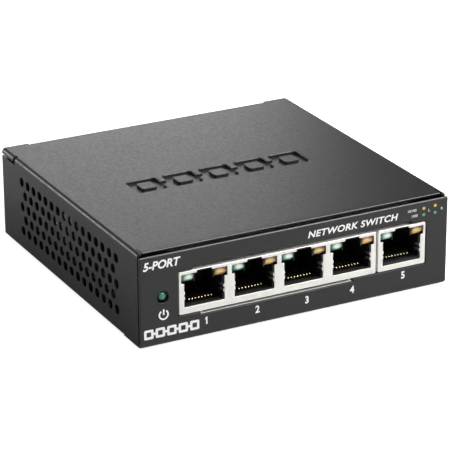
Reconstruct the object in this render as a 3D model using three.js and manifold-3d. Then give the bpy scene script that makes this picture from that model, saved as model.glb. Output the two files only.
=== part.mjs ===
// Five-port desktop network switch in a folded sheet-steel case.
// Millimetres, +Z up. The ports face -Y. The origin is the middle of the footprint,
// at the level of the undersides of the rubber feet.
import * as THREE from 'three';
import { mergeVertices } from 'three/addons/utils/BufferGeometryUtils.js';
import Module from 'manifold-3d';

const wasm = await Module();
wasm.setup();

// ---------------------------------------------------------------- driving dimensions

const WIDTH = 100.5;
const DEPTH = 98;
const HEIGHT = 29.1;
const FOOT_PROUD = 0.6; // how far the rubber feet stand below the case

const CHASSIS_SHEET = 1.0;
const COVER_SHEET = 0.8;
const BEND_RADIUS = 1.2; // outer radius of every fold in the case
const GAP = 0.3; // clearance between neighbouring pieces
const TOUCH = 0.1; // clearance under a piece that is screwed or stuck down

const SIDE = WIDTH / 2;
const FRONT = -DEPTH / 2;
const REAR = DEPTH / 2;
const BASE = FOOT_PROUD; // underside of the case
const FLOOR = BASE + CHASSIS_SHEET; // inside of the case floor

const PANEL_TOP = HEIGHT - 0.9; // the front panel stops a little under the lid's level
const PANEL_BACK = FRONT + CHASSIS_SHEET;
const REAR_PANEL_OUTER = REAR - COVER_SHEET - GAP;
const REAR_PANEL_TOP = HEIGHT - COVER_SHEET - GAP;

const BOARD_BOTTOM = 6.85;
const BOARD_TOP = BOARD_BOTTOM + 1.6;
const BOARD = { x: 46.5, front: -46.5, rear: 45 };

// Network jacks: a ganged block of four and a single one, on the same board edge.
const PORT_PITCH = 16;
const QUAD = { centre: -6.05, width: 4 * PORT_PITCH + 0.1, sill: 10.6 };
const SINGLE = { centre: 34.75, width: 16.1, sill: 10.2 };
const JACK_FACE = FRONT + 0.1;
const JACK_BACK = JACK_FACE + 21.3;
const JACK_BOTTOM = BOARD_TOP + TOUCH;
const JACK_TOP = 21.6;
const SHIELD = 0.4; // wall of the tinned shield
const PORT_CENTRES = [-1.5, -0.5, 0.5, 1.5].map((n) => QUAD.centre + n * PORT_PITCH);
const ALL_PORTS = [...PORT_CENTRES, SINGLE.centre];
const PORT_HALF = 6.4; // half the width of the opening in the shield
const LED_SHELF = 17.9; // level where the opening widens for the two indicators
const LED_TOP = 20.65;
const LED_INNER = 3.3; // indicator's inner and outer edge, from the port's middle
const LED_OUTER = 7.3;
const LATCH_HALF = 2.35;
const CONTACT_PITCH = 1.02;
const CONTACT_COUNT = 8;
const CONTACT_PIVOT = { y: FRONT + 3.2, z: 11.3 };

const DC_JACK = { x: 33, z: BOARD_TOP + 6.5, bore: 3.2, width: 9, height: 11, length: 14 };
const POWER_LED = { x: -43.15, z: 15.3, hole: 1.85, lens: 1.5 };

const VENT = { radius: 1.45, pitch: 4.49, rowPitch: 3.98, rows: 5, longRow: 16, y: 0.25, z: 14.85, sides: 6 };

const FOOT = { x: 40, y: 40, radius: 4.1, recess: 4.4, boss: 5.2, dish: 1.0 };
const STANDOFF = { x: 43, front: -11, rear: 28, radius: 2.8, hole: 1.5 };
const COVER_SCREW = { x: 34, z: 24.4 };
const FLANGE_BOTTOM = 21.3; // lower edge of the lid's rear flange

// ---------------------------------------------------------------- solids

// A closed three.js geometry as a solid that can be joined and cut.
function solid(geometry) {
  geometry.deleteAttribute('normal');
  geometry.deleteAttribute('uv');
  const merged = mergeVertices(geometry, 1e-4);
  return new wasm.Manifold(
    new wasm.Mesh({
      numProp: 3,
      vertProperties: merged.attributes.position.array,
      triVerts: new Uint32Array(merged.index.array),
    }),
  );
}

// The box between two x, two y and two z values.
function box([x0, x1], [y0, y1], [z0, z1]) {
  const geometry = new THREE.BoxGeometry(x1 - x0, y1 - y0, z1 - z0);
  return solid(geometry.translate((x0 + x1) / 2, (y0 + y1) / 2, (z0 + z1) / 2));
}

const symmetric = (half) => [-half, half];
const around = (centre, half) => [centre - half, centre + half];

// A round bar or cone between two heights on a vertical axis.
function post(x, y, [z0, z1], radius, { top = radius, sides = 12 } = {}) {
  const geometry = new THREE.CylinderGeometry(top, radius, z1 - z0, sides);
  return solid(geometry.rotateX(Math.PI / 2).translate(x, y, (z0 + z1) / 2));
}

// A round bar or cone along Y; radius is at y0 and far at y1.
function bar(x, z, [y0, y1], radius, { far = radius, sides = 12 } = {}) {
  const geometry = new THREE.CylinderGeometry(far, radius, y1 - y0, sides);
  return solid(geometry.translate(x, (y0 + y1) / 2, z));
}

function outline(points) {
  return new THREE.Shape(points.map(([u, v]) => new THREE.Vector2(u, v)));
}

// A (y, z) outline carried along X.
function alongX(points, [x0, x1]) {
  const geometry = new THREE.ExtrudeGeometry(outline(points), { depth: x1 - x0, bevelEnabled: false });
  const turn = new THREE.Matrix4().makeBasis(
    new THREE.Vector3(0, 1, 0),
    new THREE.Vector3(0, 0, 1),
    new THREE.Vector3(1, 0, 0),
  );
  return solid(geometry.applyMatrix4(turn).translate(x0, 0, 0));
}

// An (x, z) outline carried along Y.
function alongY(points, [y0, y1]) {
  const geometry = new THREE.ExtrudeGeometry(outline(points), { depth: y1 - y0, bevelEnabled: false });
  return solid(geometry.rotateX(Math.PI / 2).translate(0, y1, 0));
}

function join(parts) {
  return parts.reduce((whole, part) => whole.add(part));
}

function cut(whole, parts) {
  return parts.reduce((rest, part) => rest.subtract(part), whole);
}

// Outline of a sheet folded at right angles. corners are those of its outer face, and the metal lies
// to the left of the way they run.
function foldedSheet(corners, thickness, steps = 3) {
  const outer = [];
  const inner = [];
  const leftOf = ([u, v]) => [-v, u];
  const toward = (a, b) => {
    const length = Math.hypot(b[0] - a[0], b[1] - a[1]);
    return [(b[0] - a[0]) / length, (b[1] - a[1]) / length];
  };
  corners.forEach((corner, i) => {
    const last = i === corners.length - 1;
    const way = last ? toward(corners[i - 1], corner) : toward(corner, corners[i + 1]);
    if (i === 0 || last) {
      const normal = leftOf(way);
      outer.push(corner);
      inner.push([corner[0] + normal[0] * thickness, corner[1] + normal[1] * thickness]);
      return;
    }
    const before = toward(corners[i - 1], corner);
    const normal = leftOf(before);
    const centre = [0, 1].map((k) => corner[k] + (normal[k] - before[k]) * BEND_RADIUS);
    for (let s = 0; s <= steps; s++) {
      const angle = (Math.PI / 2) * (s / steps);
      const ray = [0, 1].map((k) => before[k] * Math.sin(angle) - normal[k] * Math.cos(angle));
      outer.push([0, 1].map((k) => centre[k] + ray[k] * BEND_RADIUS));
      inner.push([0, 1].map((k) => centre[k] + ray[k] * (BEND_RADIUS - thickness)));
    }
  });
  return [...outer, ...inner.reverse()];
}

// ---------------------------------------------------------------- materials and the group

function finish(color, roughness, metalness = 0) {
  return new THREE.MeshStandardMaterial({ color, roughness, metalness });
}

const MATERIAL = {
  case: finish(0x2e3031, 0.55, 0.2),
  shield: finish(0xe6e4dd, 0.4, 0.6),
  housing: finish(0x0b0b0b, 0.6),
  contact: finish(0xc9a349, 0.3, 1),
  green: finish(0xb8d6c4, 0.3),
  amber: finish(0xd9a441, 0.3),
  board: finish(0x1d5a34, 0.5),
  rubber: finish(0x151515, 0.9),
  screw: finish(0x8d8f92, 0.35, 1),
  chip: finish(0x17181a, 0.6),
  pad: finish(0x9aa4ad, 0.8),
  alloy: finish(0x9fa3a6, 0.4, 1),
  sleeve: finish(0x1b2a4a, 0.4),
  tin: finish(0xb9bcc0, 0.3, 1),
};

const assembly = new THREE.Group();

function add(name, body, material) {
  const mesh = body.getMesh();
  const geometry = new THREE.BufferGeometry();
  geometry.setAttribute('position', new THREE.BufferAttribute(new Float32Array(mesh.vertProperties), 3));
  geometry.setIndex(new THREE.BufferAttribute(new Uint32Array(mesh.triVerts), 1));
  geometry.computeVertexNormals();
  const node = new THREE.Mesh(geometry, material);
  node.name = name;
  assembly.add(node);
}

// ---------------------------------------------------------------- lid

const LID = {
  front: FRONT + BEND_RADIUS + 0.4, // front ends of the side walls
  frontFlange: PANEL_BACK + 1, // outer face of the flange behind the front panel
  frontFlangeBottom: 25,
  skirt: BASE + 0.3, // lower edge of the side walls
  toeRear: -37.8, // the walls reach lower in front of this
  foldInner: SIDE - 1.35,
  rearFlangeHalf: 41,
};

// Rear corner relief in the sides of the lid: a notch over the fold and a slit under it.
const RELIEF = { notch: [39.1, 40.4], slit: [26.75, 27.45] };

// A plain mark pressed into the lid: five hollow squares joined in a row.
const MARK = { x: -0.7, y: -0.9, squares: 5, pitch: 12, size: 9.8, stroke: 2.6, depth: 0.55 };

function lidMark() {
  const top = [HEIGHT - MARK.depth, HEIGHT + 1];
  const start = MARK.x - ((MARK.squares - 1) / 2) * MARK.pitch;
  const pressed = [];
  for (let i = 0; i < MARK.squares; i++) {
    const x = start + i * MARK.pitch;
    const island = MARK.size / 2 - MARK.stroke;
    const outer = box(around(x, MARK.size / 2), around(MARK.y, MARK.size / 2), top);
    pressed.push(outer.subtract(box(around(x, island), around(MARK.y, island), top)));
    if (i > 0) {
      const link = (MARK.pitch - MARK.size) / 2 + 0.2;
      pressed.push(box(around(x - MARK.pitch / 2, link), around(MARK.y, MARK.stroke / 2), top));
    }
  }
  return pressed;
}

// Staggered rows of round holes through both side walls at once.
function ventHoles() {
  const holes = [];
  for (let row = 0; row < VENT.rows; row++) {
    const count = VENT.longRow - (row % 2);
    for (let i = 0; i < count; i++) {
      const y = VENT.y + (i - (count - 1) / 2) * VENT.pitch;
      const z = VENT.z + (row - (VENT.rows - 1) / 2) * VENT.rowPitch;
      const drill = new THREE.CylinderGeometry(VENT.radius, VENT.radius, WIDTH + 2, VENT.sides);
      holes.push(solid(drill.rotateZ(Math.PI / 2).translate(0, y, z)));
    }
  }
  return holes;
}

function topCover() {
  const across = foldedSheet(
    [[SIDE, LID.skirt], [SIDE, HEIGHT], [-SIDE, HEIGHT], [-SIDE, LID.skirt]],
    COVER_SHEET,
  );
  const frontFlange = foldedSheet(
    [[0, HEIGHT], [LID.frontFlange, HEIGHT], [LID.frontFlange, LID.frontFlangeBottom]],
    COVER_SHEET,
  );
  const rearFlange = foldedSheet([[REAR, FLANGE_BOTTOM], [REAR, HEIGHT], [0, HEIGHT]], COVER_SHEET);
  const above = [HEIGHT - 3, HEIGHT + 1];
  const flangeFold = LID.frontFlange + BEND_RADIUS;
  const rearFold = REAR - BEND_RADIUS;
  const shell = cut(alongY(across, [LID.front, REAR]), [
    box(symmetric(LID.foldInner), [FRONT, flangeFold], above),
    box(symmetric(LID.rearFlangeHalf + 0.5), [rearFold, REAR + 1], above),
  ]);
  const corners = [-1, 1].map((side) => {
    const x = (inner, outer) => (side < 0 ? [-outer, -inner] : [inner, outer]);
    return {
      notch: box(x(LID.foldInner, SIDE + 1), RELIEF.notch, [RELIEF.slit[0], HEIGHT + 1]),
      slit: box(x(LID.foldInner, SIDE + 1), [RELIEF.notch[0], REAR + 1], RELIEF.slit),
      toe: box(x(SIDE - COVER_SHEET, SIDE), [LID.front, LID.toeRear], [BASE, LID.skirt + 0.1]),
    };
  });
  const whole = join([
    cut(shell, corners.flatMap((c) => [c.notch, c.slit])),
    ...corners.map((c) => c.toe),
    alongX(frontFlange, symmetric(LID.foldInner - GAP)),
    alongX(rearFlange, symmetric(LID.rearFlangeHalf)),
  ]);
  const sinks = [-1, 1].map((side) =>
    bar(side * COVER_SCREW.x, COVER_SCREW.z, [REAR - COVER_SHEET - 0.1, REAR + 0.1], 1.9, { far: 2.9 }),
  );
  return cut(whole, [...ventHoles(), ...lidMark(), ...sinks]);
}

add('top_cover', topCover(), MATERIAL.case);

// ---------------------------------------------------------------- chassis: front panel, floor and rear panel

// The window for all five ports. It is taller over the shields, for their spring fingers, and a little
// deeper under the block of four, for its earth tabs.
const PORT_WINDOW = { x: [-38.4, 43.1], z: [8.3, 21.85] };
const FINGER_ROOM = { x: [-33.8, 38], z: [21.75, 22.8] };
const TAB_ROOM = { x: [-31.4, 18.3], z: [7.45, 8.4] };
const SIDE_FLANGE = { outer: SIDE - COVER_SHEET - GAP, top: 4.6, half: 46 };
const KEYHOLE = { x: 26, y: 0, head: 3.3, shank: 1.8, slide: 6 };
const LOCK_SLOT = { x: -30, z: 15, halfLength: 3.5, halfHeight: 1.5 };

// Screw hooks: a round entry with a narrow slot towards the front.
function keyholes() {
  const through = [BASE - 1, FLOOR + 0.5];
  return [-1, 1].flatMap((side) => [
    post(side * KEYHOLE.x, KEYHOLE.y, through, KEYHOLE.head),
    box(around(side * KEYHOLE.x, KEYHOLE.shank), [KEYHOLE.y - KEYHOLE.slide, KEYHOLE.y], through),
    post(side * KEYHOLE.x, KEYHOLE.y - KEYHOLE.slide, through, KEYHOLE.shank),
  ]);
}

function bottomChassis() {
  const folded = foldedSheet(
    [[FRONT, PANEL_TOP], [FRONT, BASE], [REAR_PANEL_OUTER, BASE], [REAR_PANEL_OUTER, REAR_PANEL_TOP]],
    CHASSIS_SHEET,
  );
  const panel = foldedSheet(
    [[FRONT, PANEL_TOP], [FRONT, BASE], [FRONT + BEND_RADIUS + 0.1, BASE]],
    CHASSIS_SHEET,
  );
  const body = join([
    alongX(folded, symmetric(SIDE_FLANGE.outer)),
    alongX(panel, symmetric(SIDE)),
    ...[-1, 1].map((side) =>
      box(
        around(side * (SIDE_FLANGE.outer - CHASSIS_SHEET / 2), CHASSIS_SHEET / 2),
        symmetric(SIDE_FLANGE.half),
        [BASE, SIDE_FLANGE.top],
      ),
    ),
  ]);
  const bosses = [];
  const holes = [];
  for (const sx of [-1, 1]) {
    for (const y of [STANDOFF.front, STANDOFF.rear]) {
      bosses.push(post(sx * STANDOFF.x, y, [FLOOR - 0.2, BOARD_BOTTOM - TOUCH], STANDOFF.radius));
      holes.push(post(sx * STANDOFF.x, y, [FLOOR, BOARD_BOTTOM + 1], STANDOFF.hole));
    }
    for (const sy of [-1, 1]) {
      bosses.push(post(sx * FOOT.x, sy * FOOT.y, [FLOOR - 0.2, FLOOR + FOOT.dish], FOOT.boss));
      holes.push(post(sx * FOOT.x, sy * FOOT.y, [BASE - 1, BASE + FOOT.dish], FOOT.recess));
    }
  }
  const rear = [REAR_PANEL_OUTER - CHASSIS_SHEET - 1, REAR_PANEL_OUTER + 1];
  const front = [FRONT - 1, PANEL_BACK + 0.5];
  return cut(join([body, ...bosses]), [
    ...holes,
    ...keyholes(),
    ...[PORT_WINDOW, FINGER_ROOM, TAB_ROOM].map((opening) => box(opening.x, front, opening.z)),
    bar(POWER_LED.x, POWER_LED.z, front, POWER_LED.hole, { sides: 16 }),
    bar(DC_JACK.x, DC_JACK.z, rear, 4.2, { sides: 20 }),
    box(around(LOCK_SLOT.x, LOCK_SLOT.halfLength), rear, around(LOCK_SLOT.z, LOCK_SLOT.halfHeight)),
    ...[-1, 1].map((side) => bar(side * COVER_SCREW.x, COVER_SCREW.z, rear, 1.6)),
  ]);
}

add('bottom_chassis', bottomChassis(), MATERIAL.case);

// ---------------------------------------------------------------- rubber feet and case screws

const FOOT_PLACES = [
  [-1, -1, 'front_left'],
  [1, -1, 'front_right'],
  [-1, 1, 'rear_left'],
  [1, 1, 'rear_right'],
];
for (const [sx, sy, place] of FOOT_PLACES) {
  const crown = post(sx * FOOT.x, sy * FOOT.y, [0, 0.4], FOOT.radius - 0.4, { top: FOOT.radius, sides: 20 });
  const disc = post(sx * FOOT.x, sy * FOOT.y, [0.4, BASE + FOOT.dish - TOUCH], FOOT.radius, { sides: 20 });
  add(`rubber_foot_${place}`, crown.add(disc), MATERIAL.rubber);
}

for (const [side, name] of [[-1, 'left'], [1, 'right']]) {
  const x = side * COVER_SCREW.x;
  const head = bar(x, COVER_SCREW.z, [REAR - COVER_SHEET, REAR - 0.05], 1.65, { far: 2.6 });
  const shank = bar(x, COVER_SCREW.z, [REAR - 6, REAR - COVER_SHEET + 0.1], 1.3, { sides: 8 });
  const driver = [
    box(around(x, 1.1), [REAR - 0.6, REAR + 1], around(COVER_SCREW.z, 0.25)),
    box(around(x, 0.25), [REAR - 0.6, REAR + 1], around(COVER_SCREW.z, 1.1)),
  ];
  add(`cover_screw_${name}`, cut(head.add(shank), driver), MATERIAL.screw);
}

// ---------------------------------------------------------------- circuit board and its screws

function circuitBoard() {
  const thickness = [BOARD_BOTTOM, BOARD_TOP];
  const slab = box(symmetric(BOARD.x), [BOARD.front, BOARD.rear], thickness);
  const through = [BOARD_BOTTOM - 1, BOARD_TOP + 1];
  const holes = [-1, 1].flatMap((side) =>
    [STANDOFF.front, STANDOFF.rear].map((y) => post(side * STANDOFF.x, y, through, 1.7)),
  );
  return cut(slab, holes);
}

add('circuit_board', circuitBoard(), MATERIAL.board);

let screwNumber = 0;
for (const y of [STANDOFF.front, STANDOFF.rear]) {
  for (const side of [-1, 1]) {
    const x = side * STANDOFF.x;
    screwNumber += 1;
    const head = post(x, y, [BOARD_TOP + TOUCH, BOARD_TOP + 1.7], 2.7, { top: 2.1 });
    const shank = post(x, y, [BOARD_TOP - 5, BOARD_TOP + 0.2], 1.2, { sides: 8 });
    const driver = [
      box(around(x, 1.2), around(y, 0.25), [BOARD_TOP + 0.9, BOARD_TOP + 3]),
      box(around(x, 0.25), around(y, 1.2), [BOARD_TOP + 0.9, BOARD_TOP + 3]),
    ];
    add(`board_screw_${screwNumber}`, cut(head.add(shank), driver), MATERIAL.screw);
  }
}

// ---------------------------------------------------------------- network jacks

// The opening in a shield's face for one port, with its indicator windows and latch notch.
function portOpening(x, sill) {
  const right = [
    [PORT_HALF, sill],
    [PORT_HALF, LED_SHELF],
    [LED_OUTER, LED_SHELF],
    [LED_OUTER, LED_TOP],
    [LATCH_HALF, LED_TOP],
    [LATCH_HALF, JACK_TOP - 0.2],
  ];
  const left = right.map(([u, v]) => [-u, v]).reverse();
  return [...right, ...left].map(([u, v]) => [x + u, v]);
}

function jackShield(block, centres) {
  const half = block.width / 2;
  const shell = cut(box(around(block.centre, half), [JACK_FACE, JACK_BACK], [JACK_BOTTOM, JACK_TOP]), [
    box(
      around(block.centre, half - SHIELD),
      [JACK_FACE + SHIELD, JACK_BACK - SHIELD],
      [JACK_BOTTOM - 1, JACK_TOP - SHIELD],
    ),
  ]);
  const openings = centres.map((x) => alongY(portOpening(x, block.sill), [JACK_FACE - 1, JACK_FACE + 1]));
  return cut(shell, openings);
}

const HOUSING = {
  face: JACK_FACE + SHIELD + TOUCH,
  back: JACK_BACK - SHIELD - TOUCH,
  bottom: JACK_BOTTOM + TOUCH,
  top: JACK_TOP - SHIELD - TOUCH,
  cavityHalf: 5.95,
  cavityFloor: 10.95,
  cavityTop: 17.95,
  cavityBack: JACK_FACE + 13.5,
  latchHalf: 2.9,
  latchBack: JACK_FACE + 9,
  ledBack: JACK_FACE + 6,
};

// The plug's cavity, its latch channel, the two indicator pockets and the trough of the contact springs.
function portCavity(x) {
  const mouth = HOUSING.face - 1;
  const springs = around(x, (CONTACT_COUNT / 2) * CONTACT_PITCH + 0.35);
  const trough = [CONTACT_PIVOT.z - 1.0, HOUSING.cavityFloor + 0.1];
  return [
    box(around(x, HOUSING.cavityHalf), [mouth, HOUSING.cavityBack], [HOUSING.cavityFloor, HOUSING.cavityTop]),
    box(around(x, HOUSING.latchHalf), [mouth, HOUSING.latchBack], [HOUSING.cavityTop - 0.1, JACK_TOP - 0.8]),
    box(springs, [CONTACT_PIVOT.y - 1.2, HOUSING.cavityBack], trough),
    ...[-1, 1].map((side) => {
      const [inner, outer] = [LED_INNER - 0.1, LED_OUTER + 0.1];
      const span = side < 0 ? [x - outer, x - inner] : [x + inner, x + outer];
      return box(span, [mouth, HOUSING.ledBack], [LED_SHELF - 0.1, LED_TOP - 0.05]);
    }),
  ];
}

function jackHousing(block, centres) {
  const half = block.width / 2 - SHIELD - TOUCH;
  const body = box(around(block.centre, half), [HOUSING.face, HOUSING.back], [HOUSING.bottom, HOUSING.top]);
  const behind = [HOUSING.back - 4, HOUSING.back + 1];
  const tray = box(around(block.centre, half - 1), behind, [HOUSING.bottom - 1, 12.3]);
  return cut(body, [...centres.flatMap(portCavity), tray]);
}

// The fixed rear ends of the contacts: one moulded strip with a row of pins down to the board.
function jackTerminals(block, centres) {
  const half = block.width / 2 - SHIELD - 1.5;
  const strip = box(around(block.centre, half), [HOUSING.back - 3.4, HOUSING.back - 0.4], [9.7, 11.9]);
  const pins = centres.flatMap((x) => {
    const row = [];
    for (let i = 0; i < CONTACT_COUNT; i++) {
      const across = x + (i - (CONTACT_COUNT - 1) / 2) * CONTACT_PITCH;
      row.push(box(around(across, 0.25), around(HOUSING.back - 1.9, 0.25), [BOARD_TOP + TOUCH, 9.8]));
    }
    return row;
  });
  return join([strip, ...pins]);
}

// One port's eight spring wires on their root bar. They rise towards the back of the cavity.
function contactSprings(x) {
  const { y, z } = CONTACT_PIVOT;
  const wire = 0.45;
  const half = ((CONTACT_COUNT - 1) * CONTACT_PITCH) / 2 + 0.3;
  const root = new THREE.CylinderGeometry(0.5, 0.5, 2 * half, 8).rotateZ(Math.PI / 2).translate(x, y, z);
  const side = [
    [y - 0.15, z - wire / 2],
    [y + 5.6, z + 0.95],
    [y + 8.6, z + 1.2],
    [y + 8.6, z + 1.2 + wire],
    [y + 5.4, z + 0.95 + wire],
    [y - 0.15, z + wire / 2],
  ];
  const wires = [];
  for (let i = 0; i < CONTACT_COUNT; i++) {
    const across = x + (i - (CONTACT_COUNT - 1) / 2) * CONTACT_PITCH;
    wires.push(alongX(side, around(across, 0.23)));
  }
  return join([solid(root), ...wires]);
}

// A wedge-nosed lens that fills one indicator window.
function indicator(x, side) {
  const [inner, outer] = side < 0 ? [x - LED_INNER, x - LED_OUTER] : [x + LED_INNER, x + LED_OUTER];
  const span = [Math.min(inner, outer) + 0.1, Math.max(inner, outer) - 0.1];
  const nose = JACK_FACE + 0.25;
  const profile = [
    [nose + 0.9, LED_SHELF + 0.1],
    [HOUSING.ledBack - 0.3, LED_SHELF + 0.1],
    [HOUSING.ledBack - 0.3, LED_TOP - 0.25],
    [nose, LED_TOP - 0.25],
    [nose, LED_SHELF + 1.1],
  ];
  return alongX(profile, span);
}

add('quad_jack_shield', jackShield(QUAD, PORT_CENTRES), MATERIAL.shield);
add('quad_jack_housing', jackHousing(QUAD, PORT_CENTRES), MATERIAL.housing);
add('quad_jack_terminals', jackTerminals(QUAD, PORT_CENTRES), MATERIAL.tin);
add('single_jack_shield', jackShield(SINGLE, [SINGLE.centre]), MATERIAL.shield);
add('single_jack_housing', jackHousing(SINGLE, [SINGLE.centre]), MATERIAL.housing);
add('single_jack_terminals', jackTerminals(SINGLE, [SINGLE.centre]), MATERIAL.tin);

ALL_PORTS.forEach((x, i) => {
  add(`port_${i + 1}_contacts`, contactSprings(x), MATERIAL.contact);
  add(`port_${i + 1}_green_led`, indicator(x, -1), MATERIAL.green);
  add(`port_${i + 1}_amber_led`, indicator(x, 1), MATERIAL.amber);
});

// ---------------------------------------------------------------- power indicator

const LED_BASE = -45.2; // where the lens leaves its holder

function ledHolder() {
  const height = [BOARD_TOP + TOUCH, POWER_LED.z + 2.4];
  const block = box(around(POWER_LED.x, 2.4), [LED_BASE, LED_BASE + 5], height);
  const pocket = bar(POWER_LED.x, POWER_LED.z, [LED_BASE - 1, LED_BASE + 3.5], POWER_LED.lens + GAP);
  return block.subtract(pocket);
}

function ledLens() {
  const { x, z, lens } = POWER_LED;
  const tip = FRONT + 0.1;
  const outlinePoints = [new THREE.Vector2(0, 0), new THREE.Vector2(lens, 0)];
  const dome = 4;
  const straight = LED_BASE + 3.2 - tip - lens;
  for (let i = 0; i <= dome; i++) {
    const angle = (Math.PI / 2) * (i / dome);
    const radius = i === dome ? 0 : lens * Math.cos(angle);
    outlinePoints.push(new THREE.Vector2(radius, straight + lens * Math.sin(angle)));
  }
  const geometry = new THREE.LatheGeometry(outlinePoints, 12);
  return solid(geometry.rotateX(Math.PI).translate(x, LED_BASE + 3.2, z));
}

add('power_led_holder', ledHolder(), MATERIAL.housing);
add('power_led', ledLens(), MATERIAL.green);

// ---------------------------------------------------------------- power inlet

const DC_FACE = REAR_PANEL_OUTER - CHASSIS_SHEET - GAP;
const DC_BACK = DC_FACE - DC_JACK.length;
const DC_SPRING = { y: DC_BACK + 2.6, z: DC_JACK.z - DC_JACK.bore - 0.9 };

function dcHousing() {
  const { x, z, bore, width, height } = DC_JACK;
  const body = box(around(x, width / 2), [DC_BACK, DC_FACE], [BOARD_TOP + TOUCH, BOARD_TOP + TOUCH + height]);
  return cut(body, [
    bar(x, z, [DC_BACK + 4, DC_FACE + 1], bore, { sides: 16 }),
    bar(x, z, [DC_BACK - 1, DC_BACK + 5], 1.5),
    box(around(x, 1.5), [DC_BACK - 1, DC_FACE - 2.5], [z - bore - 1.9, z - bore + 0.6]),
  ]);
}

function dcPin() {
  const { x, z } = DC_JACK;
  const shaft = bar(x, z, [DC_BACK - 0.4, DC_FACE - 2], 1.05);
  const nose = bar(x, z, [DC_FACE - 2, DC_FACE - 1.2], 1.05, { far: 0.6 });
  const tail = box(around(x, 1.2), [DC_BACK - 1.0, DC_BACK - 0.3], [BOARD_TOP + TOUCH, z + 1]);
  return join([shaft, nose, tail]);
}

// The outer contact: a leaf that stands a little into the bore and yields as the plug goes in.
function dcSpring() {
  const { x } = DC_JACK;
  const { y, z } = DC_SPRING;
  const root = new THREE.CylinderGeometry(0.5, 0.5, 2, 8).rotateZ(Math.PI / 2).translate(x, y, z);
  const side = [
    [y, z - 0.2],
    [y + 4.4, z + 0.2],
    [y + 6.0, z + 1.1],
    [y + 7.6, z + 0.5],
    [y + 7.6, z + 0.9],
    [y + 6.0, z + 1.5],
    [y + 4.2, z + 0.6],
    [y, z + 0.2],
  ];
  return solid(root).add(alongX(side, around(x, 1.0)));
}

add('dc_jack_housing', dcHousing(), MATERIAL.housing);
add('dc_jack_pin', dcPin(), MATERIAL.tin);
add('dc_jack_spring', dcSpring(), MATERIAL.tin);

// ---------------------------------------------------------------- parts on the board

const ON_BOARD = BOARD_TOP + TOUCH;

// A moulded package with a row of leads along its two long sides.
function leadedPackage({ x, y, width, depth, height, leads, pitch, reach }) {
  const moulding = box(around(x, width / 2), around(y, depth / 2), [ON_BOARD + 0.15, ON_BOARD + height]);
  const rows = [];
  for (let i = 0; i < leads; i++) {
    const across = x + (i - (leads - 1) / 2) * pitch;
    rows.push(box(around(across, pitch * 0.22), around(y, depth / 2 + reach), [ON_BOARD, ON_BOARD + 0.5]));
  }
  return join([moulding, ...rows]);
}

const TRANSFORMER = { y: -20.5, width: 14.6, depth: 7, height: 5.4, leads: 12, pitch: 1.15, reach: 1.2 };
ALL_PORTS.forEach((x, i) => {
  add(`transformer_${i + 1}`, leadedPackage({ ...TRANSFORMER, x }), MATERIAL.chip);
});

const CHIP = { x: 2, y: 1, width: 14, depth: 14, height: 1.4, leads: 16, pitch: 0.8, reach: 1 };
add('switch_chip', leadedPackage(CHIP), MATERIAL.chip);
add(
  'thermal_pad',
  box(around(CHIP.x, 6), around(CHIP.y, 6), [ON_BOARD + CHIP.height + TOUCH, ON_BOARD + CHIP.height + 0.6]),
  MATERIAL.pad,
);

function heatSink() {
  const foot = ON_BOARD + CHIP.height + 0.7;
  const half = 10;
  const plate = box(around(CHIP.x, half), around(CHIP.y, half), [foot, foot + 1.6]);
  const fins = [];
  const count = 6;
  for (let i = 0; i < count; i++) {
    const x = CHIP.x + (i - (count - 1) / 2) * ((2 * half - 1.2) / (count - 1));
    fins.push(box(around(x, 0.6), around(CHIP.y, half), [foot + 1, foot + 8]));
  }
  return join([plate, ...fins]);
}

add('heat_sink', heatSink(), MATERIAL.alloy);
add(
  'memory_chip',
  leadedPackage({ x: -16, y: 8, width: 5, depth: 4, height: 1.6, leads: 4, pitch: 1.27, reach: 1 }),
  MATERIAL.chip,
);
add(
  'regulator_chip',
  leadedPackage({ x: 22, y: 12, width: 6.5, depth: 3.5, height: 1.7, leads: 3, pitch: 2.3, reach: 1.7 }),
  MATERIAL.chip,
);

function crystal() {
  const [x, y] = [-15, -3];
  const height = [ON_BOARD + 0.3, ON_BOARD + 3.5];
  const can = box(around(x, 3.4), around(y, 2.3), height);
  const ends = [-1, 1].map((side) => post(x + side * 3.4, y, height, 2.3, { sides: 16 }));
  const flange = box(around(x, 5.9), around(y, 2.5), [ON_BOARD, ON_BOARD + 0.4]);
  return join([can, ...ends, flange]);
}

add('crystal', crystal(), MATERIAL.tin);

const CAPACITORS = [
  { x: 18, y: 36, radius: 4, height: 11 },
  { x: 8, y: 37, radius: 3.15, height: 9 },
  { x: -4, y: 37, radius: 3.15, height: 9 },
];
CAPACITORS.forEach(({ x, y, radius, height }, i) => {
  const rim = ON_BOARD + 1.3;
  const can = join([
    post(x, y, [ON_BOARD, rim], radius, { sides: 16 }),
    post(x, y, [rim - 0.1, rim + 0.7], radius - 0.3, { sides: 16 }),
    post(x, y, [rim + 0.6, ON_BOARD + height], radius, { sides: 16 }),
  ]);
  add(`capacitor_${i + 1}`, can, MATERIAL.sleeve);
});

const INDUCTORS = { x: [20, 9], y: 24, base: 3.2, drum: 2.9 };
INDUCTORS.x.forEach((x, i) => {
  const half = INDUCTORS.base;
  const base = box(around(x, half), around(INDUCTORS.y, half), [ON_BOARD, ON_BOARD + 0.8]);
  const drum = post(x, INDUCTORS.y, [ON_BOARD + 0.7, ON_BOARD + 3.4], INDUCTORS.drum, { sides: 16 });
  add(`inductor_${i + 1}`, base.add(drum), MATERIAL.chip);
});

export default assembly;
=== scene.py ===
"""Looks of a five-port desktop network switch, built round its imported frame.

Shapes are drawn in millimetres, in the frame's axes (+Z up, ports facing -Y), and turned into metres when a
piece is finished.
"""
import math

import bmesh
import bpy
from mathutils import Matrix, Vector


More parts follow.
